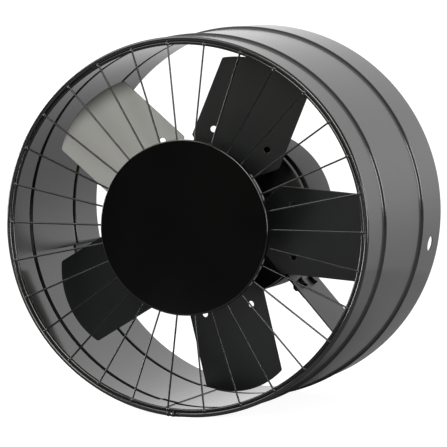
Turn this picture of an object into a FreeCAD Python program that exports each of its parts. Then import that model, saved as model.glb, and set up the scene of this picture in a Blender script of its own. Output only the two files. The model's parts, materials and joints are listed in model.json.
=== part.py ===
import FreeCAD, Part
import math
import os
from types import SimpleNamespace

import Sketcher

# An axial exhaust fan: a rolled sheet tube, a spoke guard, five flat blades and a motor on three arms.
# The axis lies along Y, the guard faces -Y, Z is up, and the origin is on the axis at the tube's rear edge.
# A depth is measured back from the middle of the rolled front rim.
# A turn is an angle about the axis, measured from X towards Z. Lengths are in mm and angles in degrees.

SIZES = {
    # tube
    "tube_radius": 200,
    "tube_length": 273,
    "tube_sheet": 1,
    "rim_roll_radius": 2.6,
    "bead_width": 11,
    "bead_rise": 2.3,
    "front_bead_depth": 64,
    "rear_bead_depth": 200,
    "seam_turn": -104.5,
    "lap_angle": 5,
    "cable_hole_radius": 8,
    "cable_hole_inset": 32,
    "cable_hole_turn": -9.4,
    # guard
    "guard_wire_radius": 2,
    "weld_bite": 0.2,
    "spoke_count": 30,
    "spoke_wire_radius": 1,
    "spoke_lead": 1.5,
    "inner_ring_radius": 84,
    "inner_ring_width": 5,
    "inner_ring_thickness": 3,
    "disc_radius": 93.5,
    "disc_height": 6.4,
    "disc_sheet": 1,
    "disc_edge": 1.2,
    # motor
    "motor_radius": 87,
    "motor_depth": 147,
    "flange_length": 9,
    "nose_length": 13,
    "nose_radius": 62,
    "nose_base_radius": 83,
    "shield_cavity": 10,
    "shaft_opening": 2,
    "core_length": 14,
    "core_radius": 80,
    "core_seat": 2,
    "air_gap": 0.5,
    "rotor_core_radius": 44,
    "winding_inner_radius": 50,
    "winding_outer_radius": 66,
    "winding_length": 8,
    "drum_length": 75,
    "drum_floor": 6,
    "drum_corner": 6,
    "cup_wall": 3,
    "cup_height": 7,
    "bearing_radius": 16,
    "bearing_width": 10,
    "shaft_radius": 6,
    "shaft_clearance": 0.05,
    "shaft_end_gap": 1,
    "grommet_radius": 5,
    "grommet_bore_radius": 3,
    "grommet_length": 6,
    "grommet_reach": 62,
    # support arms
    "arm_count": 3,
    "arm_turn": -48.5,
    "arm_sheet": 1.5,
    "arm_lead": 6,
    "arm_tail": 4,
    "arm_motor_gap": 3,
    "lug_sheet": 3,
    "lug_root": 2,
    "lug_reach": 31,
    "lug_setback": 2,
    "lug_rear_gap": 10,
    "foot_width": 13,
    "foot_length": 42,
    "foot_setback": 25,
    "bolt_radius": 3,
    "bolt_clearance": 0.3,
    "bolt_reach": 14,
    "bolt_spacing": 34,
    "bolt_head_radius": 5.8,
    "bolt_head_height": 4,
    "nut_height": 5,
    "bolt_tail": 2,
    # blades and hub
    "blade_count": 5,
    "blade_turn": -4.3,
    "blade_pitch": 15.2,
    "blade_sheet": 1.5,
    "blade_depth": 72,
    "blade_tip_radius": 185,
    "blade_tip_curve": 100,
    "blade_chord": 100,
    "blade_corner": 3,
    "blade_shoulder": 82,
    "blade_root": 60,
    "blade_root_width": 50,
    "blade_hole_radius": 3.5,
    "blade_hole_reach": 96,
    "blade_hole_spacing": 61,
    "spider_sheet": 3,
    "spider_radius": 48,
    "spider_arm_width": 44,
    "spider_arm_start": 32,
    "spider_arm_reach": 92,
    "hub_radius": 15,
    "hub_flange_radius": 30,
    "hub_flange": 5,
    "hub_boss": 18,
    "washer_radius": 12,
    "washer_thickness": 1.5,
    "hub_nut_radius": 9,
    "hub_nut_height": 8,
    "thread_radius": 5,
    "thread_tail": 4,
    # how far a cut runs past the face it opens
    "overrun": 1,
}

# Sides of the plain sections that stand for round bars, rings and bores, to keep the faces few.
WIRE_SIDES = 6
RING_WIRE_SIDES = 5
ROLL_SIDES = 5
HEX_SIDES = 6
BOLT_SIDES = 6
HOLE_SIDES = 8
RING_SIDES = 16
CORE_SIDES = 32
SHELL_SIDES = 40


class Size:
    """A number together with the sheet formula that gives it."""

    def __init__(self, number, text):
        self.number = number
        self.text = text

    def __add__(self, other):
        return joined(self, "+", other, self.number + as_size(other).number)

    def __sub__(self, other):
        return joined(self, "-", other, self.number - as_size(other).number)

    def __mul__(self, other):
        return joined(self, "*", other, self.number * as_size(other).number)

    def __truediv__(self, other):
        return joined(self, "/", other, self.number / as_size(other).number)

    def __neg__(self):
        return Size(-self.number, "(-" + self.text + ")")


def joined(left, sign, right, number):
    return Size(number, "(" + left.text + " " + sign + " " + as_size(right).text + ")")


def as_size(value):
    if isinstance(value, Size):
        return value
    return Size(float(value), repr(float(value)))


def root(value):
    return Size(math.sqrt(value.number), "sqrt(" + value.text + ")")


doc = FreeCAD.newDocument("ExhaustFan")
sheet = doc.addObject("Spreadsheet::Sheet", "Sizes")
for row, (alias, number) in enumerate(SIZES.items(), start=1):
    sheet.set("A" + str(row), alias)
    sheet.set("B" + str(row), str(number))
    sheet.setAlias("B" + str(row), alias)
doc.recompute()
size = SimpleNamespace(**{alias: Size(number, "Sizes." + alias) for alias, number in SIZES.items()})


# Bodies, sketches and features

def new_body(label):
    body = doc.addObject("PartDesign::Body", label)
    body.Label = label
    return body


def origin_of(body, role):
    return next(feature for feature in body.Origin.OriginFeatures if feature.Role == role)


def bind(thing, name, value):
    thing.setExpression(name, as_size(value).text)


def pose(x=0, y=0, z=0, yaw=0, turn=0, tilt=0):
    """A placement formula: tilted about X, turned from X towards Z, yawed about Z, then shifted."""
    words = [as_size(value).text for value in (x, y, z, yaw, turn, tilt)]
    shift = "create(<<vector>>; {}; {}; {})".format(*words[:3])
    swing = "create(<<rotation>>; {}; -({}); {})".format(*words[3:])
    return "create(<<placement>>; " + shift + "; " + swing + ")"


def new_sketch(body, name, plane, place=None):
    sketch = body.newObject("Sketcher::SketchObject", name)
    sketch.AttachmentSupport = [(origin_of(body, plane), "")]
    sketch.MapMode = "FlatFace"
    if place:
        sketch.setExpression("AttachmentOffset", place)
    return sketch


def fix(sketch, kind, places, value):
    """Add one constraint whose value follows the sheet."""
    value = as_size(value)
    number = sketch.addConstraint(Sketcher.Constraint(kind, *places, value.number))
    sketch.setExpression("Constraints[{}]".format(number), value.text)


def fix_point(sketch, geometry, end, x, y):
    fix(sketch, "DistanceX", (-1, 1, geometry, end), x)
    fix(sketch, "DistanceY", (-1, 1, geometry, end), y)


def arc_through(start, end, radius):
    """The short arc from start to end that bulges to the right of the way it runs."""
    chord = end - start
    sagitta = radius - math.sqrt(radius ** 2 - (chord.Length / 2) ** 2)
    right = FreeCAD.Vector(chord.y, -chord.x, 0).normalize()
    return Part.Arc(start, (start + end) / 2 + right * sagitta, end)


def add_loop(sketch, corners):
    """A closed line through corners of (x, y). A third value is the radius of an arc to the next corner."""
    points = [FreeCAD.Vector(as_size(x).number, as_size(y).number, 0) for x, y, *bend in corners]
    ends = []
    for index, (x, y, *bend) in enumerate(corners):
        start = points[index]
        end = points[(index + 1) % len(points)]
        if bend:
            arc = arc_through(start, end, bend[0].number)
            geometry = sketch.addGeometry(arc)
            begins_at_start = sketch.getPoint(geometry, 1).distanceToPoint(start) < sketch.getPoint(
                geometry, 2).distanceToPoint(start)
            fix(sketch, "Radius", (geometry,), bend[0])
            ends.append((geometry, 1, 2) if begins_at_start else (geometry, 2, 1))
        else:
            ends.append((sketch.addGeometry(Part.LineSegment(start, end)), 1, 2))
    for index, (geometry, start, end) in enumerate(ends):
        following = ends[(index + 1) % len(ends)]
        sketch.addConstraint(Sketcher.Constraint("Coincident", geometry, end, following[0], following[1]))
        fix_point(sketch, geometry, start, corners[index][0], corners[index][1])


def add_circle(sketch, x, y, radius):
    centre = FreeCAD.Vector(as_size(x).number, as_size(y).number, 0)
    geometry = sketch.addGeometry(Part.Circle(centre, FreeCAD.Vector(0, 0, 1), radius.number))
    fix(sketch, "Radius", (geometry,), radius)
    fix_point(sketch, geometry, 3, x, y)


def even_sides(x, y, radius, sides, lead=0):
    """The corners of an even-sided section about a point, the first at an angle from x."""
    x = as_size(x)
    y = as_size(y)
    angles = [math.radians(lead + 360 * side / sides) for side in range(sides)]
    return [(x + radius * math.cos(angle), y + radius * math.sin(angle)) for angle in angles]


def bore_sides(x, y, radius, sides):
    """The corners of an even-sided bore whose flats touch a round bar of that radius."""
    return even_sides(x, y, radius / math.cos(math.pi / sides), sides)


def turned(body, name, corners, angle=None, turn=0):
    """A section of (radius, distance along the axis) turned about the axis, all round or through an angle."""
    sketch = new_sketch(body, name + "_section", "XY_Plane", pose(turn=turn))
    add_loop(sketch, corners)
    feature = body.newObject("PartDesign::Revolution", name)
    feature.Profile = sketch
    feature.ReferenceAxis = (sketch, ["V_Axis"])
    if angle:
        feature.Reversed = True
        bind(feature, "Angle", angle)
    return feature


def padded(body, name, sketch, length):
    """A sketch given a thickness, half to each side of it."""
    feature = body.newObject("PartDesign::Pad", name)
    feature.Profile = sketch
    feature.SideType = "Symmetric"
    bind(feature, "Length", length)
    return feature


def ring_block(body, name, start, end, outer, inner=None):
    """Even-sided outlines, and a hole through them, carried along the axis from start to end."""
    sketch = new_sketch(body, name + "_outline", "XZ_Plane", pose(z=-(start + end) / 2))
    add_loop(sketch, outer)
    if inner:
        add_loop(sketch, inner)
    return padded(body, name, sketch, end - start)


def tapered_block(body, name, place, radius, length, end_radius):
    """An even-sided block that narrows towards the rear, from a radius at a place to a smaller one."""
    sketch = new_sketch(body, name + "_outline", "XZ_Plane", pose(z=-place))
    add_loop(sketch, even_sides(0, 0, radius, SHELL_SIDES))
    narrowing = (radius - end_radius) * math.cos(math.pi / SHELL_SIDES)
    feature = body.newObject("PartDesign::Pad", name)
    feature.Profile = sketch
    feature.Reversed = True
    bind(feature, "Length", length)
    feature.setExpression("TaperAngle", "-atan(" + (narrowing / length).text + ")")
    return feature


def ring_pocket(body, name, start, end, outline):
    """An even-sided outline cut away along the axis from start to end."""
    sketch = new_sketch(body, name + "_outline", "XZ_Plane", pose(z=-(start + end) / 2))
    add_loop(sketch, outline)
    cut_out(body, name, sketch, end - start, True)


def cut_out(body, name, sketch, length, both_ways):
    """A sketch cut away, half to each side of it or only along its normal."""
    feature = body.newObject("PartDesign::Pocket", name)
    feature.Profile = sketch
    if both_ways:
        feature.SideType = "Symmetric"
    else:
        feature.Reversed = True
    bind(feature, "Length", length)
    cuts.append(feature)
    return feature


def repeated(body, name, features, count):
    """Features repeated evenly round the axis."""
    feature = body.newObject("PartDesign::PolarPattern", name)
    feature.Originals = features
    feature.Axis = (origin_of(body, "Y_Axis"), [""])
    feature.Angle = 360
    bind(feature, "Occurrences", count)
    body.Tip = feature
    return feature


cuts = []

# Places along the axis that several pieces share

front = -size.tube_length
tube_inner = size.tube_radius - size.tube_sheet
spoke_plane = front - size.spoke_lead
guard_ring_radius = size.tube_radius - size.rim_roll_radius - size.guard_wire_radius + size.weld_bite
flange_front = front + size.motor_depth
core_front = flange_front + size.flange_length
core_rear = core_front + size.core_length
drum_rear = core_rear + size.drum_length
core_lip_radius = size.core_radius - size.core_seat
shield_floor = core_front - size.shield_cavity
nose_front = flange_front - size.nose_length
drum_floor = drum_rear - size.drum_floor
rear_bearing_rear = drum_floor + size.bearing_width
blade_plane = front + size.blade_depth
spider_front = blade_plane + size.blade_sheet / 2
spider_rear = spider_front + size.spider_sheet
hub_flange_rear = spider_rear + size.hub_flange
washer_front = spider_front - size.washer_thickness
nut_front = washer_front - size.hub_nut_height
arm_inner = size.motor_radius + size.arm_motor_gap
arm_front = core_rear - size.arm_lead
arm_rear = drum_rear + size.arm_tail
bolt_circle = size.motor_radius + size.bolt_reach
bolt_middle = (core_rear + drum_rear) / 2
bolt_places = [(bolt_circle, bolt_middle - size.bolt_spacing / 2),
               (bolt_circle, bolt_middle + size.bolt_spacing / 2)]
bolt_hole_radius = size.bolt_radius + size.bolt_clearance
nut_face = -size.lug_sheet


# Tube

def bead(radius, depth):
    """The corners of one bead on a face of the sheet, from the rear forwards."""
    middle = front + depth
    return [(radius, middle + size.bead_width / 2),
            (radius + size.bead_rise, middle),
            (radius, middle - size.bead_width / 2)]


def sheet_section(inner, outer):
    """The section of the beaded sheet between two radii, from the rear edge to the rim."""
    outside = bead(outer, size.rear_bead_depth) + bead(outer, size.front_bead_depth)
    inside = bead(inner, size.rear_bead_depth) + bead(inner, size.front_bead_depth)
    return [(inner, 0), (outer, 0)] + outside + [(outer, front), (inner, front)] + inside[::-1]


def make_tube():
    body = new_body("housing_tube")
    turned(body, "tube_wall", sheet_section(tube_inner, size.tube_radius))
    turned(body, "rim_roll", even_sides(size.tube_radius, front, size.rim_roll_radius, ROLL_SIDES, 180))
    lap = sheet_section(tube_inner - size.tube_sheet, tube_inner)
    turned(body, "lap_seam", lap, size.lap_angle, size.seam_turn)
    hole = new_sketch(body, "cable_hole_circle", "YZ_Plane", pose(tilt=-size.cable_hole_turn))
    add_circle(hole, -size.cable_hole_inset, 0, size.cable_hole_radius)
    cut_out(body, "cable_hole", hole, size.tube_radius + size.overrun, False)


# Guard

def make_guard():
    ring = new_body("guard_ring")
    turned(ring, "ring_wire", even_sides(guard_ring_radius, front, size.guard_wire_radius, RING_WIRE_SIDES))

    spokes = new_body("guard_spokes")
    inner_end = size.inner_ring_radius - size.inner_ring_width / 2
    outer_end = guard_ring_radius
    section = new_sketch(spokes, "spoke_section", "YZ_Plane", pose(z=(inner_end + outer_end) / 2))
    add_loop(section, even_sides(spoke_plane, 0, size.spoke_wire_radius, WIRE_SIDES))
    spoke = padded(spokes, "spoke", section, outer_end - inner_end)
    repeated(spokes, "spoke_round", [spoke], size.spoke_count)

    inner = new_body("guard_inner_ring")
    ring_front = spoke_plane + size.spoke_wire_radius - size.weld_bite
    low = size.inner_ring_radius - size.inner_ring_width / 2
    high = size.inner_ring_radius + size.inner_ring_width / 2
    sides = SIZES["spoke_count"]
    ring_block(inner, "inner_ring", ring_front, ring_front + size.inner_ring_thickness,
               even_sides(0, 0, high, sides), even_sides(0, 0, low, sides))

    disc = new_body("guard_disc")
    skirt_end = spoke_plane - size.spoke_wire_radius + size.weld_bite
    face = skirt_end - size.disc_height
    skirt_inner = size.disc_radius - size.disc_sheet
    turned(disc, "disc_cap", [
        (0, face),
        (size.disc_radius - size.disc_edge, face),
        (size.disc_radius, face + size.disc_edge),
        (size.disc_radius, skirt_end),
        (skirt_inner, skirt_end),
        (skirt_inner, face + size.disc_sheet),
        (0, face + size.disc_sheet)])


# Motor

def make_shield():
    body = new_body("motor_front_shield")
    flange = even_sides(0, 0, size.motor_radius, SHELL_SIDES)
    cavity = even_sides(0, 0, core_lip_radius, RING_SIDES)
    seat = even_sides(0, 0, size.bearing_radius, RING_SIDES)
    opening = even_sides(0, 0, size.shaft_radius + size.shaft_opening, RING_SIDES)
    ring_block(body, "shield_flange", flange_front, core_front, flange)
    turned(body, "shield_nose", [
        (0, nose_front),
        (size.nose_radius, nose_front),
        (size.nose_base_radius, flange_front),
        (0, flange_front)])
    ring_pocket(body, "shield_cavity", shield_floor, core_front, cavity)
    ring_pocket(body, "front_seat", shield_floor - size.bearing_width, core_front, seat)
    ring_pocket(body, "shaft_opening", nose_front - size.overrun, core_front, opening)


def make_rear_shell():
    body = new_body("motor_rear_shell")
    corner_front = drum_rear - size.drum_corner
    end_radius = size.motor_radius - size.drum_corner
    cup = even_sides(0, 0, size.bearing_radius + size.cup_wall, RING_SIDES)
    seat = even_sides(0, 0, size.bearing_radius, RING_SIDES)
    ring_block(body, "drum", core_rear, corner_front, even_sides(0, 0, size.motor_radius, SHELL_SIDES))
    tapered_block(body, "drum_corner", corner_front, size.motor_radius, size.drum_corner, end_radius)
    ring_block(body, "bearing_cup", drum_rear, drum_rear + size.cup_height, cup)
    ring_pocket(body, "drum_cavity", core_rear, drum_floor, even_sides(0, 0, core_lip_radius, RING_SIDES))
    ring_pocket(body, "rear_seat", core_rear, rear_bearing_rear, seat)
    ring_pocket(body, "lead_hole", core_rear, drum_rear + size.overrun,
                even_sides(size.grommet_reach, 0, size.grommet_radius, HOLE_SIDES))
    lug_plate = new_sketch(body, "lug_outline", "XY_Plane", pose(z=-size.lug_sheet / 2))
    lug_front = core_rear + size.lug_setback
    lug_rear = drum_rear - size.lug_rear_gap
    lug_inner = size.motor_radius - size.lug_root
    lug_outer = size.motor_radius + size.lug_reach
    add_loop(lug_plate, [
        (lug_inner, lug_front), (lug_outer, lug_front), (lug_outer, lug_rear), (lug_inner, lug_rear)])
    for x, y in bolt_places:
        add_loop(lug_plate, even_sides(x, y, bolt_hole_radius, BOLT_SIDES))
    lug = padded(body, "lug", lug_plate, size.lug_sheet)
    repeated(body, "lug_round", [lug], size.arm_count)
    body.setExpression("Placement", pose(turn=size.arm_turn))


def make_grommet():
    body = new_body("lead_grommet")
    middle = drum_rear - size.drum_floor / 2
    ring_block(body, "grommet", middle - size.grommet_length / 2, middle + size.grommet_length / 2,
               even_sides(size.grommet_reach, 0, size.grommet_radius, HOLE_SIDES),
               even_sides(size.grommet_reach, 0, size.grommet_bore_radius, HOLE_SIDES))
    body.setExpression("Placement", pose(turn=size.arm_turn))


def make_stator():
    core = new_body("stator_core")
    bore = size.rotor_core_radius + size.air_gap
    ring_block(core, "core_stack", core_front, core_rear,
               even_sides(0, 0, size.core_radius, CORE_SIDES), bore_sides(0, 0, bore, CORE_SIDES))
    coils = new_body("stator_windings")
    outer = even_sides(0, 0, size.winding_outer_radius, RING_SIDES)
    inner = even_sides(0, 0, size.winding_inner_radius, RING_SIDES)
    ring_block(coils, "front_coils", core_front - size.winding_length, core_front, outer, inner)
    ring_block(coils, "rear_coils", core_rear, core_rear + size.winding_length, outer, inner)


def make_bearing(label, rear, turn):
    """A plain ring whose sides line up with those of its seat."""
    body = new_body(label)
    ring_block(body, label + "_ring", rear - size.bearing_width, rear,
               even_sides(0, 0, size.bearing_radius, RING_SIDES),
               bore_sides(0, 0, size.shaft_radius + size.shaft_clearance, RING_SIDES))
    body.setExpression("Placement", pose(turn=turn))


# Support arms, their bolts and nuts

def make_arm(number):
    body = new_body("support_arm_" + str(number + 1))
    plate = new_sketch(body, "arm_outline", "XY_Plane", pose(z=size.arm_sheet / 2))
    arm_outer = root(tube_inner * tube_inner - size.arm_sheet * size.arm_sheet)
    add_loop(plate, [
        (arm_inner, arm_front), (arm_outer, arm_front), (arm_outer, arm_rear), (arm_inner, arm_rear)])
    for x, y in bolt_places:
        add_loop(plate, even_sides(x, y, bolt_hole_radius, BOLT_SIDES))
    padded(body, "arm_plate", plate, size.arm_sheet)
    foot_front = arm_front + size.foot_setback
    foot_rear = foot_front + size.foot_length
    foot_inner = tube_inner - size.arm_sheet
    turned(body, "arm_foot", [
        (foot_inner, foot_front), (tube_inner, foot_front), (tube_inner, foot_rear), (foot_inner, foot_rear)],
        size.foot_width / tube_inner * math.degrees(1))
    body.setExpression("Placement", pose(turn=size.arm_turn + as_size(360) / size.arm_count * number))


def make_arm_bolts():
    bolts = new_body("arm_bolts")
    heads = new_sketch(bolts, "head_outline", "XY_Plane", pose(z=size.arm_sheet + size.bolt_head_height / 2))
    shank_end = nut_face - size.nut_height - size.bolt_tail
    shanks = new_sketch(bolts, "shank_circles", "XY_Plane", pose(z=(shank_end + size.arm_sheet) / 2))
    nuts = new_body("arm_nuts")
    rings = new_sketch(nuts, "nut_outline", "XY_Plane", pose(z=nut_face - size.nut_height / 2))
    for x, y in bolt_places:
        add_loop(heads, even_sides(x, y, size.bolt_head_radius, HEX_SIDES))
        add_loop(shanks, even_sides(x, y, size.bolt_radius, BOLT_SIDES))
        add_loop(rings, even_sides(x, y, size.bolt_head_radius, HEX_SIDES))
        add_loop(rings, even_sides(x, y, size.bolt_radius, BOLT_SIDES))
    head = padded(bolts, "bolt_heads", heads, size.bolt_head_height)
    shank = padded(bolts, "bolt_shanks", shanks, size.arm_sheet - shank_end)
    repeated(bolts, "bolts_round", [head, shank], size.arm_count)
    nut = padded(nuts, "nut_rings", rings, size.nut_height)
    repeated(nuts, "nuts_round", [nut], size.arm_count)
    for body in (bolts, nuts):
        body.setExpression("Placement", pose(turn=size.arm_turn))


# Shaft, rotor core and hub

def make_rotor():
    shaft = new_body("shaft")
    shaft_rear = rear_bearing_rear - size.shaft_end_gap
    thread_front = nut_front - size.thread_tail
    turned(shaft, "shaft_bar", [
        (0, thread_front), (size.thread_radius, thread_front), (size.thread_radius, spider_front),
        (size.shaft_radius, spider_front), (size.shaft_radius, shaft_rear), (0, shaft_rear)])
    shaft_bore = bore_sides(0, 0, size.shaft_radius, RING_SIDES)
    thread_bore = bore_sides(0, 0, size.thread_radius, RING_SIDES)

    core = new_body("rotor_core")
    ring_block(core, "rotor_stack", core_front, core_rear,
               even_sides(0, 0, size.rotor_core_radius, CORE_SIDES), shaft_bore)

    hub = new_body("hub")
    ring_block(hub, "hub_flange", spider_rear, hub_flange_rear,
               even_sides(0, 0, size.hub_flange_radius, RING_SIDES), shaft_bore)
    ring_block(hub, "hub_boss", hub_flange_rear, hub_flange_rear + size.hub_boss,
               even_sides(0, 0, size.hub_radius, RING_SIDES), shaft_bore)

    washer = new_body("hub_washer")
    ring_block(washer, "washer_ring", washer_front, spider_front,
               even_sides(0, 0, size.washer_radius, RING_SIDES), thread_bore)

    nut = new_body("hub_nut")
    ring_block(nut, "hub_nut_ring", nut_front, washer_front,
               even_sides(0, 0, size.hub_nut_radius, HEX_SIDES), thread_bore)


def make_spider():
    """A pressed star: a disc on the shaft with arms set at the blades' pitch."""
    body = new_body("hub_spider")
    near = size.blade_sheet / 2
    far = near + size.spider_sheet
    half = size.spider_arm_width / 2
    disc = even_sides(0, 0, size.spider_radius, CORE_SIDES)
    ring_block(body, "spider_disc", near, far, disc, bore_sides(0, 0, size.shaft_radius, RING_SIDES))
    middle = (size.spider_arm_start + size.spider_arm_reach) / 2
    section = new_sketch(body, "arm_section", "YZ_Plane", pose(z=middle, yaw=size.blade_pitch))
    add_loop(section, [(near, -half), (far, -half), (far, half), (near, half)])
    arm = padded(body, "spider_arm", section, size.spider_arm_reach - size.spider_arm_start)
    repeated(body, "spider_arms", [arm], size.blade_count)
    body.setExpression("Placement", pose(y=blade_plane, turn=size.blade_turn))


# Blades

def make_blade(number):
    body = new_body("blade_" + str(number + 1))
    half = size.blade_chord / 2
    corner = size.blade_corner
    curve = size.blade_tip_curve
    centre = size.blade_tip_radius - curve
    inset = curve - corner
    reach = root(inset * inset - (half - corner) * (half - corner))
    corner_x = centre + reach
    tip_x = centre + reach * curve / inset
    tip_y = (half - corner) * curve / inset
    root_half = size.blade_root_width / 2
    outline = new_sketch(body, "blade_outline", "XZ_Plane")
    add_loop(outline, [
        (size.blade_root, -root_half),
        (size.blade_shoulder, -half),
        (corner_x, -half, corner),
        (tip_x, -tip_y, curve),
        (tip_x, tip_y, corner),
        (corner_x, half),
        (size.blade_shoulder, half),
        (size.blade_root, root_half)])
    for side in (-1, 1):
        hole_y = size.blade_hole_spacing / 2 * side
        add_loop(outline, even_sides(size.blade_hole_reach, hole_y, size.blade_hole_radius, HOLE_SIDES))
    padded(body, "blade_sheet", outline, size.blade_sheet)
    turn = size.blade_turn + as_size(360) / size.blade_count * number
    body.setExpression("Placement", pose(y=blade_plane, turn=turn, tilt=size.blade_pitch))


make_tube()
make_guard()
make_shield()
make_stator()
make_rear_shell()
make_grommet()
make_bearing("front_bearing", shield_floor, 0)
make_bearing("rear_bearing", rear_bearing_rear, size.arm_turn)
for number in range(SIZES["arm_count"]):
    make_arm(number)
make_arm_bolts()
make_rotor()
make_spider()
for number in range(SIZES["blade_count"]):
    make_blade(number)
doc.recompute()

# Checks and export

for thing in doc.Objects:
    if "Invalid" in thing.State or "Error" in thing.State:
        raise RuntimeError(thing.Label + " did not compute: " + str(thing.State))
for cut in cuts:
    if not cut.Shape.Volume < cut.BaseFeature.Shape.Volume:
        raise RuntimeError(cut.Label + " removed nothing")
os.makedirs("parts", exist_ok=True)
for body in doc.Objects:
    if body.TypeId == "PartDesign::Body":
        if body.Shape.isNull() or not body.Shape.isValid():
            raise RuntimeError(body.Label + " has no sound shape")
        body.Shape.exportStep("parts/" + body.Label + ".step")
        print(body.Label, len(body.Shape.Solids), "solids", round(body.Shape.Volume), "cubic mm")
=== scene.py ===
import json
import math

import bmesh
import bpy
from mathutils import Matrix, Vector


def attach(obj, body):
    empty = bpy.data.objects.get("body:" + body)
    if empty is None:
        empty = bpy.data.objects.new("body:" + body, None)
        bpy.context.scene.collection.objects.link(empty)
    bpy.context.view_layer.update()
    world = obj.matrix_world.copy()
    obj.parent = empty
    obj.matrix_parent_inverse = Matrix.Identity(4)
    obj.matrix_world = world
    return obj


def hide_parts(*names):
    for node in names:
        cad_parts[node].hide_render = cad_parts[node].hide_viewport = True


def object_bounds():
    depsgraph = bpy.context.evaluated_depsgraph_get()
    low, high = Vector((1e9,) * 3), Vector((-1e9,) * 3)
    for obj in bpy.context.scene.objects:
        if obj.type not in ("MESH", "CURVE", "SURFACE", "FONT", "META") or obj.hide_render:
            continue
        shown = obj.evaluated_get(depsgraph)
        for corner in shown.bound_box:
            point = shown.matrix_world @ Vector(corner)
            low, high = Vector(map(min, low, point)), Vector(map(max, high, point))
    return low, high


# An axial exhaust fan in black paint. The axis lies along Y, the guard faces -Y and Z is up.
# Lengths are in metres and angles in degrees. Depth runs back from the middle of the rolled front rim.
# A turn is an angle about the axis, measured from X towards Z.

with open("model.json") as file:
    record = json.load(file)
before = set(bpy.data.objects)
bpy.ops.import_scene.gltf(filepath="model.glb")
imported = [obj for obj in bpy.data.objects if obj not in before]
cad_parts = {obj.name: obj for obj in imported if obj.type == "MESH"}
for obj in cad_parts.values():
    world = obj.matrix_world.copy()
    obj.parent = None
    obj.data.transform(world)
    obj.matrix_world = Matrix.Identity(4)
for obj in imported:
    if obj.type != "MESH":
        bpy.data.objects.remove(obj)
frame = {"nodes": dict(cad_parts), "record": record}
cad_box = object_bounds()

# Tube
FRONT = -0.273
TUBE_OUTER = 0.2
TUBE_SHEET = 0.001
TUBE_INNER = TUBE_OUTER - TUBE_SHEET
ROLL_RADIUS = 0.0026
ROLL_START = 90
ROLL_END = -247
BEAD_DEPTHS = (0.064, 0.2)
BEAD_HALF_WIDTH = 0.0055
BEAD_RISE = 0.0025
LAP_INNER = TUBE_INNER - TUBE_SHEET
LAP_TURN = -104.5
LAP_ANGLE = 5
HOLE_RADIUS = 0.008
HOLE_DEPTH = 0.241
HOLE_TURN = -9.4
JOINT_TURN = -94
JOINT_ANGLE = 5
JOINT_RADIUS = 0.0033
JOINT_LUMP = 0.0007
JOINT_LUMPS = 5

# Guard
GUARD_RING_RADIUS = 0.1956
GUARD_WIRE = 0.002
SPOKE_COUNT = 30
SPOKE_WIRE = 0.001
SPOKE_LEAD = 0.0015
SPOKE_PLANE = FRONT - SPOKE_LEAD
SPOKE_INNER = 0.0815
SPOKE_OUTER = GUARD_RING_RADIUS
WELD_RADIUS = 0.0018
WELD_LENGTH = 0.003
WELD_HEIGHT = 0.0015
DISC_RADIUS = 0.0935
DISC_LEAD = 0.0087
DISC_FACE = FRONT - DISC_LEAD
DISC_SKIRT_LEAD = 0.0023
DISC_SKIRT_END = FRONT - DISC_SKIRT_LEAD
DISC_SHEET = 0.001
DISC_EDGE = 0.0014

# Motor
MOTOR_RADIUS = 0.087
MOTOR_EDGE = 0.001
MOTOR_WALL = 0.009
MOTOR_INNER = MOTOR_RADIUS - MOTOR_WALL
NOSE_DEPTH = 0.134
NOSE_FRONT = FRONT + NOSE_DEPTH
NOSE_RADIUS = 0.062
NOSE_EDGE = 0.004
NOSE_EDGE_END = -32
NOSE_BASE = 0.083
SHAFT_OPENING = 0.008
SHIELD_CAVITY = 0.01
BEARING_RADIUS = 0.016
BEARING_WIDTH = 0.01
FLANGE_DEPTH = 0.147
FLANGE_FRONT = FRONT + FLANGE_DEPTH
CORE_DEPTH = 0.156
CORE_LENGTH = 0.014
CORE_FRONT = FRONT + CORE_DEPTH
CORE_REAR = CORE_FRONT + CORE_LENGTH
CORE_RADIUS = 0.08
CORE_BORE = 0.0445
LAMINATION_COUNT = 14
LAMINATION_GROOVE = 0.0004
DRUM_LENGTH = 0.075
DRUM_REAR = CORE_REAR + DRUM_LENGTH
DRUM_CORNER = 0.006
DRUM_FLOOR = 0.006
CUP_RADIUS = 0.019
CUP_HEIGHT = 0.007
CUP_EDGE = 0.0015
CUP_FILLET = 0.003
DRUM_SCREW_DEPTH = 0.21
DRUM_SCREW_TURN = 14
DRUM_SCREW_RADIUS = 0.0021
DRUM_SCREW_HEIGHT = 0.0012
TIE_COUNT = 4
TIE_RING = 0.07
TIE_RADIUS = 0.004
TIE_HEIGHT = 0.003
TIE_FIRST_TURN = 26.5
GROMMET_REACH = 0.062
GROMMET_RADIUS = 0.0066
GROMMET_NECK = 0.005
GROMMET_BORE = 0.003
GROMMET_LIP = 0.0014

# Support arms
ARM_COUNT = 3
ARM_TURN = -48.5
LUG_INNER = 0.085
LUG_OUTER = 0.118
LUG_DEPTH = 0.172
LUG_LENGTH = 0.063
LUG_FRONT = FRONT + LUG_DEPTH
LUG_SHEET = 0.003
LUG_EDGE = 0.0005
FOOT_SHEET = 0.0015
FOOT_INNER = TUBE_INNER - FOOT_SHEET
FOOT_WELD_DEPTHS = (0.196, 0.21, 0.224)
FOOT_WELD_TURN = 2
FOOT_WELD_RADIUS = 0.0022
FOOT_WELD_HEIGHT = 0.0005

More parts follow.
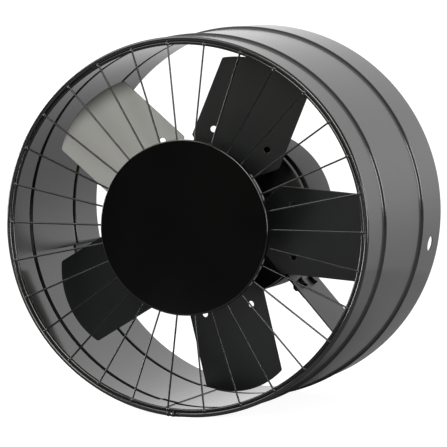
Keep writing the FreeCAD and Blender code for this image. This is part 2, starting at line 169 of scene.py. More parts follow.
# Blades and hub
BLADE_COUNT = 5
BLADE_TURN = -4.3
BLADE_PITCH = 15.2
BLADE_DEPTH = 0.072
BLADE_PLACE = FRONT + BLADE_DEPTH
BLADE_SHEET = 0.0015
BLADE_EDGE = 0.0003
BLADE_TIP = 0.185
BLADE_TIP_CURVE = 0.1
BLADE_HALF_CHORD = 0.05
BLADE_CORNER = 0.003
BLADE_SHOULDER = 0.082
BLADE_ROOT = 0.06
BLADE_ROOT_HALF = 0.025
BLADE_HOLE_RADIUS = 0.0035
BLADE_HOLE_REACH = 0.096
BLADE_HOLE_SIDE = 0.0305
SPIDER_SHEET = 0.003
SPIDER_FRONT = BLADE_PLACE + BLADE_SHEET / 2
SPIDER_REAR = SPIDER_FRONT + SPIDER_SHEET
RIVET_REACHES = (0.068, 0.085)
RIVET_SIDE = 0.014
RIVET_RADIUS = 0.0034
RIVET_HEIGHT = 0.0018
HUB_FLANGE_RADIUS = 0.03
HUB_FLANGE = 0.005
HUB_RADIUS = 0.015
HUB_BOSS = 0.018
HUB_EDGE = 0.001
HUB_FILLET = 0.003
HUB_BORE = 0.006
HUB_RIVET_COUNT = 6
HUB_RIVET_RING = 0.0225
WASHER_RADIUS = 0.012
WASHER_BORE = 0.005
WASHER_SHEET = 0.0015
WASHER_EDGE = 0.0003

# How finely the meshes are made
ROUND_STEPS = 240
SMALL_STEPS = 48
WIRE_STEPS = 16
DOME_STEPS = 16
DOME_RINGS = 4
ARC_STEPS = 6
BEAD_STEPS = 12
SUPPORT = 0.0005
SMOOTH_ANGLE = 24
MERGE = 0.000001
CUT_LENGTH = 0.03


# Finishes

PATCH_SCALE = 14
PATCH_DETAIL = 4
PATCH_SHARES = (0.3, 0.7)
GRAIN_SCALE = 1400
GRAIN_DETAIL = 3
GRAIN_RELIEF_SHARE = 0.012
GRAIN_DEPTH = 0.0004


def node_in(tree, kind, **settings):
    node = tree.nodes.new(kind)
    for name, value in settings.items():
        setattr(node, name, value)
    return node


def noise_node(tree, where, scale, detail):
    noise = node_in(tree, "ShaderNodeTexNoise")
    noise.inputs["Scale"].default_value = scale
    noise.inputs["Detail"].default_value = detail
    tree.links.new(where, noise.inputs["Vector"])
    return noise


def ranged(tree, value, low, high):
    spread = node_in(tree, "ShaderNodeMapRange")
    spread.inputs["To Min"].default_value = low
    spread.inputs["To Max"].default_value = high
    tree.links.new(value, spread.inputs["Value"])
    return spread.outputs["Result"]


def grey(level):
    return (level, level, level)


def add_patches(tree, shader, place, dark, light, rough):
    """Let the colour and the roughness drift in patches."""
    patches = noise_node(tree, place, PATCH_SCALE, PATCH_DETAIL).outputs["Fac"]
    ramp = node_in(tree, "ShaderNodeValToRGB")
    for stop, share, colour in zip(ramp.color_ramp.elements, PATCH_SHARES, (dark, light)):
        stop.position = share
        stop.color = (*colour, 1)
    tree.links.new(patches, ramp.inputs["Fac"])
    tree.links.new(ramp.outputs["Color"], shader.inputs["Base Color"])
    tree.links.new(ranged(tree, patches, *rough), shader.inputs["Roughness"])


def add_grain(tree, shader, place, grain, relief, stretch):
    """A fine grain that gives the surface relief."""
    mapping = node_in(tree, "ShaderNodeMapping")
    mapping.inputs["Scale"].default_value = stretch
    tree.links.new(place, mapping.inputs["Vector"])
    grains = noise_node(tree, mapping.outputs["Vector"], grain, GRAIN_DETAIL)
    bump = node_in(tree, "ShaderNodeBump")
    bump.inputs["Strength"].default_value = relief
    bump.inputs["Distance"].default_value = GRAIN_DEPTH
    tree.links.new(grains.outputs["Fac"], bump.inputs["Height"])
    tree.links.new(bump.outputs["Normal"], shader.inputs["Normal"])


def finish(name, dark, light, rough, metal=0, grain=GRAIN_SCALE, relief=GRAIN_RELIEF_SHARE,
           stretch=(1, 1, 1), specular=0.5):
    """A procedural finish between two colours and two roughnesses, with a grain."""
    material = bpy.data.materials.new(name)
    material.use_nodes = True
    tree = material.node_tree
    shader = tree.nodes["Principled BSDF"]
    shader.inputs["Metallic"].default_value = metal
    shader.inputs["Specular IOR Level"].default_value = specular
    place = node_in(tree, "ShaderNodeTexCoord").outputs["Object"]
    add_patches(tree, shader, place, dark, light, rough)
    add_grain(tree, shader, place, grain, relief, stretch)
    return material


paints = {
    "tube_paint": finish("tube paint", grey(0.01), grey(0.014), (0.15, 0.19)),
    "guard_paint": finish("guard paint", grey(0.003), grey(0.006), (0.14, 0.2)),
    "disc_paint": finish("disc paint", grey(0.0012), grey(0.0018), (0.11, 0.14)),
    "motor_paint": finish("motor paint", grey(0.014), grey(0.02), (0.42, 0.5), specular=0.35),
    "arm_paint": finish("arm paint", grey(0.014), grey(0.02), (0.36, 0.44), specular=0.4),
    "blade_paint": finish("blade paint", (0.0042, 0.0056, 0.0054), (0.007, 0.0086, 0.0084),
                          (0.285, 0.31)),
    "spider_paint": finish("spider paint", grey(0.004), grey(0.008), (0.3, 0.45)),
    "core_steel": finish("core steel", (0.012, 0.012, 0.013), (0.024, 0.024, 0.025), (0.45, 0.6),
                         metal=0.6, grain=700, relief=0.3, stretch=(0.02, 1, 0.02)),
    "copper": finish("enamelled copper", (0.3, 0.1, 0.035), (0.5, 0.2, 0.07), (0.25, 0.4),
                     metal=0.9, grain=600, relief=0.5, stretch=(1, 4, 1)),
    "bright_steel": finish("ground steel", (0.4, 0.4, 0.41), (0.6, 0.6, 0.61), (0.2, 0.35),
                           metal=1, grain=1200, relief=0.1, stretch=(1, 6, 1)),
    "dark_steel": finish("black oxide steel", (0.012, 0.012, 0.013), (0.025, 0.025, 0.026),
                         (0.35, 0.5), metal=0.6),
    "hub_metal": finish("cast aluminium", (0.35, 0.35, 0.36), (0.5, 0.5, 0.51), (0.4, 0.55),
                        metal=1, grain=500, relief=0.3),
    "rubber": finish("black rubber", grey(0.01), grey(0.02), (0.6, 0.75), specular=0.3),
}
for row in frame["record"]["subparts"]:
    mesh = frame["nodes"][row["node"]].data
    mesh.materials.clear()
    mesh.materials.append(paints[row["material_slot"]])


# Mesh helpers

def add_piece(name, mesh, slot_name, body):
    """Finish a mesh with its slot's material and let it ride on a body."""
    work = bmesh.new()
    work.from_mesh(mesh)
    bmesh.ops.remove_doubles(work, verts=work.verts, dist=MERGE)
    bmesh.ops.delete(work, geom=[edge for edge in work.edges if edge.is_wire], context="EDGES")
    bmesh.ops.recalc_face_normals(work, faces=work.faces)
    work.to_mesh(mesh)
    work.free()
    mesh.shade_smooth()
    mesh.set_sharp_from_angle(angle=math.radians(SMOOTH_ANGLE))
    mesh.materials.append(paints[slot_name])
    piece = bpy.data.objects.new(name, mesh)
    bpy.context.collection.objects.link(piece)
    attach(piece, body)
    return piece


def new_piece(name, points, faces, slot_name, body):
    mesh = bpy.data.meshes.new(name)
    mesh.from_pydata(points, [], faces)
    return add_piece(name, mesh, slot_name, body)


def around(radius, turn, y):
    """A point at a radius, a turn about the axis and a place along it."""
    angle = math.radians(turn)
    return (radius * math.cos(angle), y, radius * math.sin(angle))


def turned(turn):
    """The rotation about the axis that takes X towards Z."""
    return Matrix.Rotation(-math.radians(turn), 4, "Y")


def arc(centre_radius, centre_y, radius, start, end, steps=ARC_STEPS):
    """Points of an arc in a section, as (radius, y). Zero degrees points outwards and 90 backwards."""
    angles = [math.radians(start + (end - start) * step / steps) for step in range(steps + 1)]
    return [(centre_radius + radius * math.cos(a), centre_y + radius * math.sin(a)) for a in angles]


def circle(centre_radius, centre_y, radius, steps=WIRE_STEPS):
    """Points of a whole circle in a section."""
    return arc(centre_radius, centre_y, radius, 0, 360 - 360 / steps, steps - 1)


def supported(section):
    """The closed section with points added near the ends of long lines, so flat faces shade flat."""
    held = []
    for here, there in zip(section, section[1:] + section[:1]):
        held.append(here)
        length = math.dist(here, there)
        if length > 4 * SUPPORT:
            for share in (SUPPORT / length, 1 - SUPPORT / length):
                held.append(tuple(a + (b - a) * share for a, b in zip(here, there)))
    return held


def band(low, high, count):
    """The faces between two rings of points, each ring given by the number of its first point."""
    pairs = [(step, (step + 1) % count) for step in range(count)]
    return [(low + step, low + after, high + after, high + step) for step, after in pairs]


def revolved(section, steps=ROUND_STEPS, start=0, sweep=360):
    """Points and faces of a closed (radius, y) section taken round the axis, capped on a part turn."""
    section = supported(section)
    whole = sweep == 360
    turns = [start + sweep * step / steps for step in range(steps if whole else steps + 1)]
    count = len(section)
    points = [around(radius, turn, y) for turn in turns for radius, y in section]
    faces = []
    for ring in range(steps):
        faces += band(ring * count, (ring + 1) % len(turns) * count, count)
    if not whole:
        faces.append(tuple(range(count))[::-1])
        faces.append(tuple(range(len(points) - count, len(points))))
    return points, faces


def facing(place, outward, along):
    """The placement of a head at a place: its Z points outward and its X lies along a direction."""
    z = Vector(outward).normalized()
    y = z.cross(Vector(along)).normalized()
    turn = Matrix((y.cross(z), y, z)).transposed().to_4x4()
    return Matrix.Translation(place) @ turn


def add_dome(points, faces, place, radius, height, length=None):
    """A domed head on its own plane, round or drawn out to a length, with a flat underside."""
    first = len(points)
    for ring in range(DOME_RINGS):
        slope = math.pi / 2 * ring / DOME_RINGS
        for step in range(DOME_STEPS):
            angle = 2 * math.pi * step / DOME_STEPS
            x = (length or radius) * math.cos(slope) * math.cos(angle)
            y = radius * math.cos(slope) * math.sin(angle)
            points.append(place @ Vector((x, y, height * math.sin(slope))))
    points.append(place @ Vector((0, 0, height)))
    top = len(points) - 1
    last = top - DOME_STEPS
    for low in range(first, last, DOME_STEPS):
        faces += band(low, low + DOME_STEPS, DOME_STEPS)
    faces += [(last + step, last + (step + 1) % DOME_STEPS, top) for step in range(DOME_STEPS)]
    faces.append(tuple(range(first, first + DOME_STEPS))[::-1])


def cut_hole(piece, middle, outward, radius):
    """Cut a round hole through a piece."""
    turn = Vector((0, 0, 1)).rotation_difference(Vector(outward)).to_matrix().to_4x4()
    bpy.ops.mesh.primitive_cylinder_add(radius=radius, depth=CUT_LENGTH, vertices=SMALL_STEPS)
    cutter = bpy.context.object
    cutter.matrix_world = Matrix.Translation(middle) @ turn
    cut = piece.modifiers.new("hole", "BOOLEAN")
    cut.operation = "DIFFERENCE"
    cut.object = cutter
    bpy.context.view_layer.update()
    evaluated = piece.evaluated_get(bpy.context.evaluated_depsgraph_get())
    mesh = bpy.data.meshes.new_from_object(evaluated)
    mesh.set_sharp_from_angle(angle=math.radians(SMOOTH_ANGLE))
    piece.modifiers.clear()
    piece.data = mesh
    bpy.data.objects.remove(cutter)


# Tube

def bead_line(radius, depth):
    """A rounded bead on one face of the sheet, from the rear forwards."""
    middle = FRONT + depth
    line = []
    for step in range(BEAD_STEPS + 1):
        share = 1 - 2 * step / BEAD_STEPS
        rise = BEAD_RISE * (1 + math.cos(math.pi * share)) / 2
        line.append((radius + rise, middle + BEAD_HALF_WIDTH * share))
    return line


def beaded_face(radius):
    return bead_line(radius, BEAD_DEPTHS[1]) + bead_line(radius, BEAD_DEPTHS[0])


def make_tube():
    roll = arc(TUBE_OUTER, FRONT, ROLL_RADIUS, ROLL_START, ROLL_END, 4 * ARC_STEPS)
    section = [(TUBE_INNER, 0), (TUBE_OUTER, 0)] + beaded_face(TUBE_OUTER)
    section += roll + beaded_face(TUBE_INNER)[::-1]
    tube = new_piece("tube_shell", *revolved(section), "tube_paint", "housing")
    middle = around(TUBE_OUTER, HOLE_TURN, FRONT + HOLE_DEPTH)
    cut_hole(tube, middle, around(1, HOLE_TURN, 0), HOLE_RADIUS)
    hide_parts("housing_tube")


def make_lap():
    """The inner of the sheet's two edges where they overlap, low in the tube."""
    section = [(LAP_INNER, 0), (TUBE_INNER, 0)] + beaded_face(TUBE_INNER)
    section += [(TUBE_INNER, FRONT), (LAP_INNER, FRONT)] + beaded_face(LAP_INNER)[::-1]
    points, faces = revolved(section, ARC_STEPS, LAP_TURN, LAP_ANGLE)
    new_piece("tube_lap", points, faces, "tube_paint", "housing")


def make_rim_joint():
    """The lumpy weld where the two ends of the rolled edge meet."""
    points = []
    faces = []
    steps = 2 * WIRE_STEPS
    for ring in range(steps + 1):
        share = 2 * ring / steps - 1
        lump = JOINT_LUMP * math.sin(JOINT_LUMPS * math.pi * ring / steps)
        radius = (JOINT_RADIUS + lump) * math.sqrt(1 - share ** 4)
        turn = JOINT_TURN + JOINT_ANGLE / 2 * share
        points += [around(across, turn, y) for across, y in circle(TUBE_OUTER, FRONT, radius)]
    for ring in range(steps):
        faces += band(ring * WIRE_STEPS, (ring + 1) * WIRE_STEPS, WIRE_STEPS)
    new_piece("rim_joint", points, faces, "guard_paint", "housing")


# Guard

def make_guard_ring():
    section = circle(GUARD_RING_RADIUS, FRONT, GUARD_WIRE)
    piece = new_piece("guard_ring_wire", *revolved(section), "guard_paint", "housing")
    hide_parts("guard_ring")


def add_spoke(points, faces, turn):
    """One straight round wire from the inner ring to the guard ring."""
    first = len(points)
    second = first + WIRE_STEPS
    across = Vector(around(1, turn + 90, 0))
    for radius in (SPOKE_INNER, SPOKE_OUTER):
        middle = Vector(around(radius, turn, SPOKE_PLANE))
        for step in range(WIRE_STEPS):
            angle = 2 * math.pi * step / WIRE_STEPS
            lift = Vector((0, SPOKE_WIRE * math.sin(angle), 0))
            points.append(middle + across * SPOKE_WIRE * math.cos(angle) + lift)
    faces += band(first, second, WIRE_STEPS)
    faces.append(tuple(range(first, second))[::-1])
    faces.append(tuple(range(second, second + WIRE_STEPS)))


def make_spokes():
    """The guard's straight wires, and the welds that hold them to its ring."""
    points = []
    faces = []
    welds = []
    weld_faces = []
    for number in range(SPOKE_COUNT):
        turn = 360 * number / SPOKE_COUNT
        add_spoke(points, faces, turn)
        place = facing(around(SPOKE_OUTER, turn, SPOKE_PLANE), (0, -1, 0), around(1, turn, 0))
        add_dome(welds, weld_faces, place, WELD_RADIUS, WELD_HEIGHT, WELD_LENGTH)
    piece = new_piece("guard_spoke_wires", points, faces, "guard_paint", "housing")
    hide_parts("guard_spokes")
    new_piece("guard_welds", welds, weld_faces, "guard_paint", "housing")


def make_disc():
    inner = DISC_RADIUS - DISC_SHEET
    section = [(0, DISC_FACE)]
    section += arc(DISC_RADIUS - DISC_EDGE, DISC_FACE + DISC_EDGE, DISC_EDGE, -90, 0)
    section += [(DISC_RADIUS, DISC_SKIRT_END), (inner, DISC_SKIRT_END), (inner, DISC_FACE + DISC_EDGE),
                (0, DISC_FACE + DISC_SHEET)]
    piece = new_piece("guard_disc_cap", *revolved(section), "disc_paint", "housing")
    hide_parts("guard_disc")


# Motor

def make_shield():
    edge = MOTOR_RADIUS - MOTOR_EDGE
    floor = CORE_FRONT - SHIELD_CAVITY
    seat_front = floor - BEARING_WIDTH
    section = [(SHAFT_OPENING, NOSE_FRONT)]
    section += arc(NOSE_RADIUS - NOSE_EDGE, NOSE_FRONT + NOSE_EDGE, NOSE_EDGE, -90, NOSE_EDGE_END)
    section += [(NOSE_BASE, FLANGE_FRONT)]
    section += arc(edge, FLANGE_FRONT + MOTOR_EDGE, MOTOR_EDGE, -90, 0)
    section += arc(edge, CORE_FRONT - MOTOR_EDGE, MOTOR_EDGE, 0, 90)
    section += [(MOTOR_INNER, CORE_FRONT), (MOTOR_INNER, floor), (BEARING_RADIUS, floor),
                (BEARING_RADIUS, seat_front), (SHAFT_OPENING, seat_front)]
    piece = new_piece("motor_shield_shell", *revolved(section), "motor_paint", "housing")
    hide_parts("motor_front_shield")


def make_core():
    """The stack of thin plates that shows between the two shells."""
    step = CORE_LENGTH / LAMINATION_COUNT
    section = [(CORE_BORE, CORE_REAR), (CORE_BORE, CORE_FRONT)]
    for plate in range(LAMINATION_COUNT):
        start = CORE_FRONT + plate * step
        section += [(CORE_RADIUS - LAMINATION_GROOVE, start), (CORE_RADIUS, start + step / 2)]
    section += [(CORE_RADIUS - LAMINATION_GROOVE, CORE_REAR)]
    piece = new_piece("core_plates", *revolved(section), "core_steel", "housing")
    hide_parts("stator_core")


def make_drum():
    edge = MOTOR_RADIUS - MOTOR_EDGE
    corner = MOTOR_RADIUS - DRUM_CORNER
    cup_rear = DRUM_REAR + CUP_HEIGHT
    floor = DRUM_REAR - DRUM_FLOOR
    seat_rear = floor + BEARING_WIDTH
    section = [(MOTOR_INNER, CORE_REAR)]
    section += arc(edge, CORE_REAR + MOTOR_EDGE, MOTOR_EDGE, -90, 0)
    section += arc(corner, DRUM_REAR - DRUM_CORNER, DRUM_CORNER, 0, 90)
    section += arc(CUP_RADIUS + CUP_FILLET, DRUM_REAR + CUP_FILLET, CUP_FILLET, -90, -180)
    section += arc(CUP_RADIUS - CUP_EDGE, cup_rear - CUP_EDGE, CUP_EDGE, 0, 90)
    section += [(0, cup_rear), (0, seat_rear), (BEARING_RADIUS, seat_rear), (BEARING_RADIUS, floor),
                (MOTOR_INNER, floor)]
    piece = new_piece("motor_drum", *revolved(section), "motor_paint", "housing")
    cut_hole(piece, around(GROMMET_REACH, ARM_TURN, DRUM_REAR), (0, 1, 0), GROMMET_NECK)
    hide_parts("motor_rear_shell")


def make_lugs():
    """The three flat lugs of the motor, to which the arms are bolted."""
    size = Vector((LUG_OUTER - LUG_INNER, LUG_LENGTH, LUG_SHEET))
    middle = Vector(((LUG_OUTER + LUG_INNER) / 2, LUG_FRONT + LUG_LENGTH / 2, -LUG_SHEET / 2))
    work = bmesh.new()
    for number in range(ARM_COUNT):
        place = turned(ARM_TURN + 360 / ARM_COUNT * number) @ Matrix.Translation(middle)
        made = bmesh.ops.create_cube(work, size=1, matrix=place @ Matrix.Diagonal(size).to_4x4())
        edges = dict.fromkeys(edge for vertex in made["verts"] for edge in vertex.link_edges)
        bmesh.ops.bevel(work, geom=list(edges), offset=LUG_EDGE, segments=2, affect="EDGES")
    mesh = bpy.data.meshes.new("motor_lugs")
    work.to_mesh(mesh)
    work.free()
    add_piece("motor_lugs", mesh, "motor_paint", "housing")


def make_motor_screws():
    """The small screw in the drum's side and the tie bolts' ends on its rear."""
    points = []
    faces = []
    side = around(MOTOR_RADIUS, DRUM_SCREW_TURN, FRONT + DRUM_SCREW_DEPTH)
    place = facing(side, around(1, DRUM_SCREW_TURN, 0), (0, 1, 0))
    add_dome(points, faces, place, DRUM_SCREW_RADIUS, DRUM_SCREW_HEIGHT)
    for number in range(TIE_COUNT):
        turn = TIE_FIRST_TURN + 360 / TIE_COUNT * number
        place = facing(around(TIE_RING, turn, DRUM_REAR), (0, 1, 0), (0, 0, 1))
        add_dome(points, faces, place, TIE_RADIUS, TIE_HEIGHT)
    new_piece("motor_screws", points, faces, "dark_steel", "housing")


def make_grommet():
    """The rubber ring in the drum's rear, through which the leads leave."""
    middle = (GROMMET_RADIUS + GROMMET_BORE) / 2
    lip = (GROMMET_RADIUS - GROMMET_BORE) / 2
    inside = DRUM_REAR - DRUM_FLOOR
    section = [(GROMMET_BORE, inside)]
    for step in range(2 * ARC_STEPS + 1):
        angle = math.pi / 2 * step / ARC_STEPS
        section.append((middle - lip * math.cos(angle), DRUM_REAR + GROMMET_LIP * math.sin(angle)))
    section += [(GROMMET_NECK, DRUM_REAR), (GROMMET_NECK, inside)]
    points, faces = revolved(section, SMALL_STEPS)
    shift = Vector(around(GROMMET_REACH, ARM_TURN, 0))
    moved = [Vector(point) + shift for point in points]
    piece = new_piece("grommet_ring", moved, faces, "rubber", "housing")
    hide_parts("lead_grommet")


# Support arms

def make_foot_welds():
    """Spot welds that hold each arm's foot to the tube."""
    points = []
    faces = []
    for number in range(ARM_COUNT):
        turn = ARM_TURN + 360 / ARM_COUNT * number + FOOT_WELD_TURN
        for depth in FOOT_WELD_DEPTHS:
            place = facing(around(FOOT_INNER, turn, FRONT + depth), around(-1, turn, 0), (0, 1, 0))
            add_dome(points, faces, place, FOOT_WELD_RADIUS, FOOT_WELD_HEIGHT)
    new_piece("foot_welds", points, faces, "arm_paint", "housing")


# Blades and hub

def blade_outline():
    """The outline of a blade, as (distance from the axis, distance across)."""
    side = BLADE_HALF_CHORD - BLADE_CORNER
    centre = BLADE_TIP - BLADE_TIP_CURVE
    reach = math.sqrt((BLADE_TIP_CURVE - BLADE_CORNER) ** 2 - side ** 2)
    swing = math.degrees(math.atan2(side, reach))
    half = [(BLADE_ROOT, BLADE_ROOT_HALF), (BLADE_SHOULDER, BLADE_HALF_CHORD)]
    half += arc(centre + reach, side, BLADE_CORNER, 90, swing)
    half += arc(centre, 0, BLADE_TIP_CURVE, swing, 0, 2 * ARC_STEPS)[1:-1]
    return half + [(BLADE_TIP, 0)] + [(x, -y) for x, y in half[::-1]]


def blade_curve():
    """A flat curve of a blade's outline and holes, as thick as the sheet and with eased edges."""
    curve = bpy.data.curves.new("blade", "CURVE")
    curve.dimensions = "2D"
    curve.fill_mode = "BOTH"
    curve.extrude = BLADE_SHEET / 2 - BLADE_EDGE
    curve.bevel_depth = BLADE_EDGE
    curve.bevel_resolution = 0
    curve.offset = -BLADE_EDGE
    loops = [blade_outline()]
    for across in (-BLADE_HOLE_SIDE, BLADE_HOLE_SIDE):
        loops.append(circle(BLADE_HOLE_REACH, across, BLADE_HOLE_RADIUS, SMALL_STEPS))
    for loop in loops:
        spline = curve.splines.new("POLY")
        spline.points.add(len(loop) - 1)
        spline.use_cyclic_u = True
        for point, (x, y) in zip(spline.points, loop):
            point.co = (x, y, 0, 1)
    return curve


def blade_mesh():
    """One blade of sheet, flat in the plane of X and Y."""
    holder = bpy.data.objects.new("blade", blade_curve())
    bpy.context.collection.objects.link(holder)
    bpy.context.view_layer.update()
    evaluated = holder.evaluated_get(bpy.context.evaluated_depsgraph_get())
    mesh = bpy.data.meshes.new_from_object(evaluated)
    bpy.data.objects.remove(holder)
    return mesh


def make_blades():
    pattern = blade_mesh()
    points = []
    faces = []
    for number in range(BLADE_COUNT):
        turn = turned(BLADE_TURN + 360 / BLADE_COUNT * number)
        pitch = Matrix.Rotation(math.radians(BLADE_PITCH), 4, "X")
        pitched = Matrix.Translation((0, BLADE_PLACE, 0)) @ turn @ pitch
        mesh = pattern.copy()
        mesh.transform(pitched @ Matrix.Rotation(math.radians(90), 4, "X"))
        piece = add_piece("blade_sheet_" + str(number + 1), mesh, "blade_paint", "rotor")
        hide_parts("blade_" + str(number + 1))
        for reach in RIVET_REACHES:
            for across in (-RIVET_SIDE, RIVET_SIDE):
                rear = facing((reach, BLADE_SHEET / 2 + SPIDER_SHEET, across), (0, 1, 0), (1, 0, 0))
                add_dome(points, faces, pitched @ rear, RIVET_RADIUS, RIVET_HEIGHT)
    bpy.data.meshes.remove(pattern)
    new_piece("blade_rivets", points, faces, "spider_paint", "rotor")


def make_hub():
    flange_rear = SPIDER_REAR + HUB_FLANGE
    boss_rear = flange_rear + HUB_BOSS
    edge = HUB_FLANGE_RADIUS - HUB_EDGE
    section = [(HUB_BORE, SPIDER_REAR), (HUB_FLANGE_RADIUS, SPIDER_REAR)]
    section += arc(edge, flange_rear - HUB_EDGE, HUB_EDGE, 0, 90)
    section += arc(HUB_RADIUS + HUB_FILLET, flange_rear + HUB_FILLET, HUB_FILLET, -90, -180)
    section += arc(HUB_RADIUS - HUB_EDGE, boss_rear - HUB_EDGE, HUB_EDGE, 0, 90)
    section += [(HUB_BORE, boss_rear)]
    piece = new_piece("hub_casting", *revolved(section, SMALL_STEPS), "hub_metal", "rotor")
    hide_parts("hub")


def make_washer():
    front = SPIDER_FRONT - WASHER_SHEET
    section = [(WASHER_BORE, SPIDER_FRONT), (WASHER_BORE, front)]
    section += arc(WASHER_RADIUS - WASHER_EDGE, front + WASHER_EDGE, WASHER_EDGE, -90, 0)
    section += [(WASHER_RADIUS, SPIDER_FRONT)]
    piece = new_piece("washer_ring", *revolved(section, SMALL_STEPS), "bright_steel", "rotor")
    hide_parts("hub_washer")


def make_hub_rivets():
    """The rivets' heads that hold the spider to the hub, on its front."""
    points = []
    faces = []
    for number in range(HUB_RIVET_COUNT):
        turn = 360 / HUB_RIVET_COUNT * number
        place = facing(around(HUB_RIVET_RING, turn, SPIDER_FRONT), (0, -1, 0), (1, 0, 0))
        add_dome(points, faces, place, RIVET_RADIUS, RIVET_HEIGHT)
    new_piece("hub_rivets", points, faces, "spider_paint", "rotor")


make_tube()
make_lap()
make_rim_joint()
make_guard_ring()
make_spokes()
make_disc()
make_shield()
make_core()
make_drum()
make_lugs()
make_motor_screws()
make_grommet()
make_foot_welds()
make_blades()
make_hub()
make_washer()
make_hub_rivets()


# Floor, light and camera

FLOOR_HEIGHT = cad_box[0][2]
FLOOR_SIDE = 2.5
FLOOR_FRONT = -1.1
FLOOR_REAR = 0.5
FLOOR_SHADE = 0.29
FLOOR_ROUGHNESS = 0.9
FLOOR_GLOW = 0.91
WORLD_DEPTH_SHARES = (-0.2, 0.6)
WORLD_DEPTH_LEVELS = (0.02, 1)
WORLD_LOW_AXIS = (-0.4, 0, 1)
WORLD_LOW_SHARES = (-0.44, 0.1)
WORLD_LOW_LEVELS = (0.36, 1.2)
WORLD_HIGH_AXIS = (0.4, 0, 1)
WORLD_HIGH_SHARES = (0.08, 0.35)
WORLD_HIGH_LEVELS = (1, 0.75)
KEY_PLACE = (0.17, -4.9, 1.25)
KEY_SIZE = (1.5, 2.3)
KEY_POWER = 156
KEY_COLOUR = (1, 0.99, 0.92)
LEFT_PLACE = (-3.3, -0.75, -0.1)
LEFT_SIZE = (1.6, 1.6)
LEFT_POWER = 160
RIGHT_PLACE = (3, -1.6, -0.2)
RIGHT_SIZE = (1.4, 2)
RIGHT_POWER = 112
TOP_PLACE = (-1.2, -1.1, 2.4)
TOP_SIZE = (2.4, 2.4)
TOP_POWER = 90
REAR_PLACES = ((-3.2, 2.7, 0.8), (3.6, 1.9, 0.9))
REAR_SIZE = (1.6, 1.6)
REAR_POWER = 60
LENS = 477.88
SENSOR = 36
VIEW_YAW = 18.558
VIEW_PITCH = 5.104
VIEW_AWAY = 6.2798
VIEW_ACROSS = 0.0394
VIEW_UP = 0.00398


def make_floor():
    """A pale floor that is white to the camera and keeps the fan's shadow."""
    mesh = bpy.data.meshes.new("floor")
    corners = [(-FLOOR_SIDE, FLOOR_FRONT, FLOOR_HEIGHT), (FLOOR_SIDE, FLOOR_FRONT, FLOOR_HEIGHT),
               (FLOOR_SIDE, FLOOR_REAR, FLOOR_HEIGHT), (-FLOOR_SIDE, FLOOR_REAR, FLOOR_HEIGHT)]
    mesh.from_pydata(corners, [], [(0, 1, 2, 3)])
    floor = bpy.data.objects.new("floor", mesh)
    bpy.context.collection.objects.link(floor)
    material = bpy.data.materials.new("pale floor")
    material.use_nodes = True
    tree = material.node_tree
    shader = tree.nodes["Principled BSDF"]
    shader.inputs["Base Color"].default_value = (*grey(FLOOR_SHADE), 1)
    shader.inputs["Roughness"].default_value = FLOOR_ROUGHNESS
    shader.inputs["Specular IOR Level"].default_value = 0
    shader.inputs["Emission Color"].default_value = (1, 1, 1, 1)
    rays = node_in(tree, "ShaderNodeLightPath")
    glow = ranged(tree, rays.outputs["Is Camera Ray"], 0, FLOOR_GLOW)
    tree.links.new(glow, shader.inputs["Emission Strength"])
    mesh.materials.append(material)


def along(tree, way, axis):
    """How far a direction lies along an axis."""
    product = node_in(tree, "ShaderNodeVectorMath", operation="DOT_PRODUCT")
    product.inputs[1].default_value = axis
    tree.links.new(way, product.inputs[0])
    return product.outputs["Value"]


def smooth_range(tree, value, limits, levels):
    """A smooth change between two levels while a value goes from one limit to the other."""
    spread = node_in(tree, "ShaderNodeMapRange", interpolation_type="SMOOTHSTEP")
    for name, setting in zip(("From Min", "From Max", "To Min", "To Max"), (*limits, *levels)):
        spread.inputs[name].default_value = setting
    tree.links.new(value, spread.inputs["Value"])
    return spread.outputs["Result"]


def combined(tree, operation, one, other):
    result = node_in(tree, "ShaderNodeMath", operation=operation)
    tree.links.new(one, result.inputs[0])
    tree.links.new(other, result.inputs[1])
    return result.outputs["Value"]


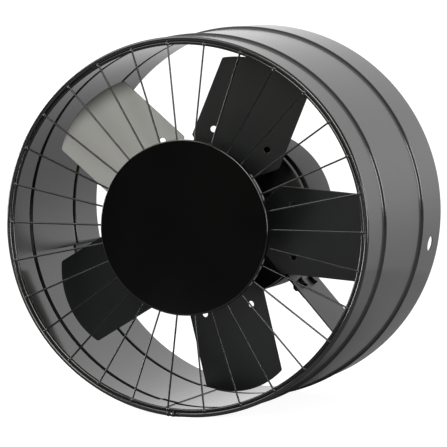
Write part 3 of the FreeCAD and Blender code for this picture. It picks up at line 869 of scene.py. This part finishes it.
def make_world():
    """A backdrop that is white to the camera. Its light is full behind the fan and dim in front of it,
    and weaker from far below and above.
    """
    world = bpy.data.worlds.new("studio")
    bpy.context.scene.world = world
    world.use_nodes = True
    tree = world.node_tree
    background = tree.nodes["Background"]
    background.inputs["Color"].default_value = (1, 1, 1, 1)
    way = node_in(tree, "ShaderNodeTexCoord").outputs["Generated"]
    level = smooth_range(tree, along(tree, way, (0, 1, 0)), WORLD_DEPTH_SHARES, WORLD_DEPTH_LEVELS)
    low = smooth_range(tree, along(tree, way, WORLD_LOW_AXIS), WORLD_LOW_SHARES, WORLD_LOW_LEVELS)
    high = smooth_range(tree, along(tree, way, WORLD_HIGH_AXIS), WORLD_HIGH_SHARES, WORLD_HIGH_LEVELS)
    level = combined(tree, "MULTIPLY", level, combined(tree, "MULTIPLY", low, high))
    rays = node_in(tree, "ShaderNodeLightPath")
    level = combined(tree, "MAXIMUM", level, rays.outputs["Is Camera Ray"])
    tree.links.new(level, background.inputs["Strength"])


def add_softbox(name, place, size, power, colour=(1, 1, 1)):
    """A soft light of a width and height that faces the middle of the guard."""
    lamp = bpy.data.lights.new(name, "AREA")
    lamp.shape = "RECTANGLE"
    lamp.size, lamp.size_y = size
    lamp.energy = power
    lamp.color = colour
    holder = bpy.data.objects.new(name, lamp)
    bpy.context.collection.objects.link(holder)
    way = Vector((0, FRONT, 0)) - Vector(place)
    holder.matrix_world = Matrix.Translation(place) @ way.to_track_quat("-Z", "Y").to_matrix().to_4x4()


def make_camera():
    """The camera at the photograph's angle, with its long lens."""
    yaw = math.radians(VIEW_YAW)
    pitch = math.radians(VIEW_PITCH)
    back = Vector((math.sin(yaw) * math.cos(pitch), -math.cos(yaw) * math.cos(pitch), math.sin(pitch)))
    right = Vector((math.cos(yaw), math.sin(yaw), 0))
    up = back.cross(right)
    camera = bpy.data.objects.new("camera", bpy.data.cameras.new("camera"))
    bpy.context.collection.objects.link(camera)
    camera.data.sensor_width = SENSOR
    camera.data.lens = LENS
    place = Vector((0, FRONT, 0)) + right * VIEW_ACROSS + up * VIEW_UP + back * VIEW_AWAY
    turn = Matrix((right, up, back)).transposed().to_4x4()
    camera.matrix_world = Matrix.Translation(place) @ turn
    bpy.context.scene.camera = camera


make_floor()
make_world()
add_softbox("key softbox", KEY_PLACE, KEY_SIZE, KEY_POWER, KEY_COLOUR)
add_softbox("left softbox", LEFT_PLACE, LEFT_SIZE, LEFT_POWER)
add_softbox("right softbox", RIGHT_PLACE, RIGHT_SIZE, RIGHT_POWER)
add_softbox("top softbox", TOP_PLACE, TOP_SIZE, TOP_POWER)
for place in REAR_PLACES:
    add_softbox("rear softbox", place, REAR_SIZE, REAR_POWER)
make_camera()
bpy.context.scene.view_settings.view_transform = "Standard"
